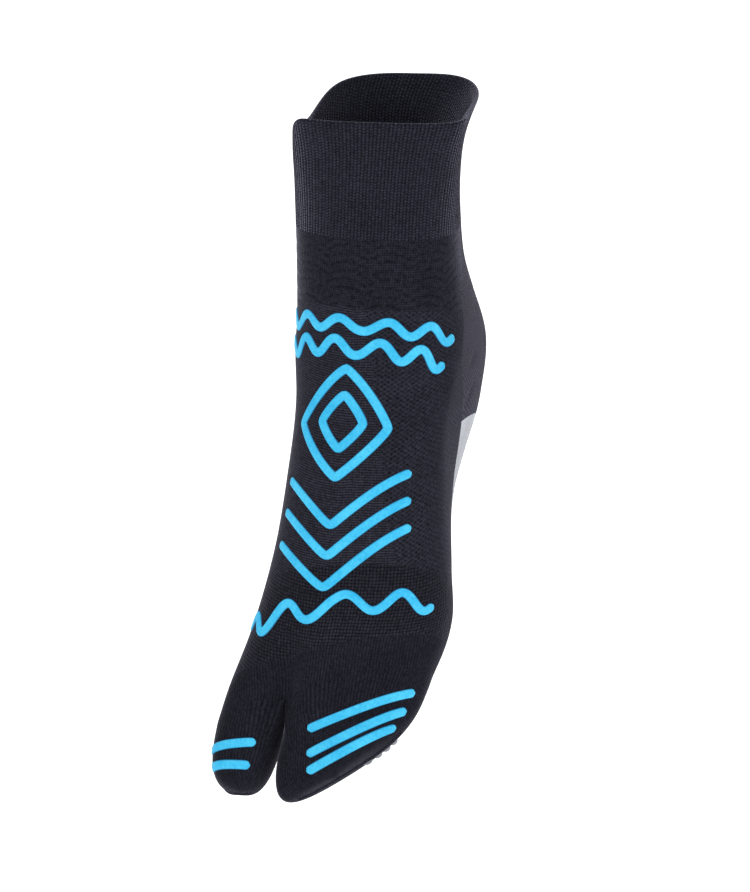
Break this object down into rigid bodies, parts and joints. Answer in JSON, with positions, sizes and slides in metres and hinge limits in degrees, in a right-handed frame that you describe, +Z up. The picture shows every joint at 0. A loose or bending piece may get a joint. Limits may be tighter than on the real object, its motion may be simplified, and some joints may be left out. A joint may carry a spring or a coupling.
{
  "type": "grip sock",
  "caption": "Left split-toe knitted sock in its worn form, with a ribbed cuff, mesh side panel, raised printed pattern and silicone grip dots under the sole.",
  "frame": {"origin": "centre of the cuff's mouth, where the leg that holds the sock enters it", "axes": "+Z up the leg and out of the mouth, +X to the outer (little toe) side, -Y to the front; the foot points down and forward"},
  "size_m": [0.0965, 0.1653, 0.3017],
  "materials": {
    "rib_knit": "matt rib knit",
    "band_knit": "matt quilted knit",
    "jersey_knit": "matt jersey knit",
    "mesh_knit": "open pique knit",
    "heel_knit": "soft terry-backed knit",
    "arch_knit": "light grey knit",
    "toe_knit": "dense jersey knit",
    "seam_thread": "linked seam thread",
    "raised_print": "satin raised polymer print",
    "silicone": "satin grey silicone dots"
  },
  "bodies": {
    "root": {"cuff": "rib_knit", "ankle_band": "band_knit", "heel_pocket": "heel_knit", "lateral_mesh_panel": "mesh_knit", "instep_panel": "jersey_knit", "arch_panel": "arch_knit", "forefoot_panel": "jersey_knit", "sole_panel": "heel_knit", "toe_box": "toe_knit", "big_toe_pocket": "toe_knit", "toes_pocket": "toe_knit", "big_toe_seam": "seam_thread", "toes_seam": "seam_thread", "print_ankle_wave_upper": "raised_print", "print_ankle_wave_lower": "raised_print", "print_diamond_outer": "raised_print", "print_diamond_inner": "raised_print", "print_chevron_1": "raised_print", "print_chevron_2": "raised_print", "print_chevron_3": "raised_print", "print_forefoot_wave": "raised_print", "print_big_toe_hoop_1": "raised_print", "print_big_toe_hoop_2": "raised_print", "print_toes_hoop_1": "raised_print", "print_toes_hoop_2": "raised_print", "print_toes_hoop_3": "raised_print", "heel_grips": "silicone", "ball_grips": "silicone", "big_toe_grips": "silicone", "toes_grips": "silicone", "toe_edge_grips": "silicone"}
  },
  "joints": []
}
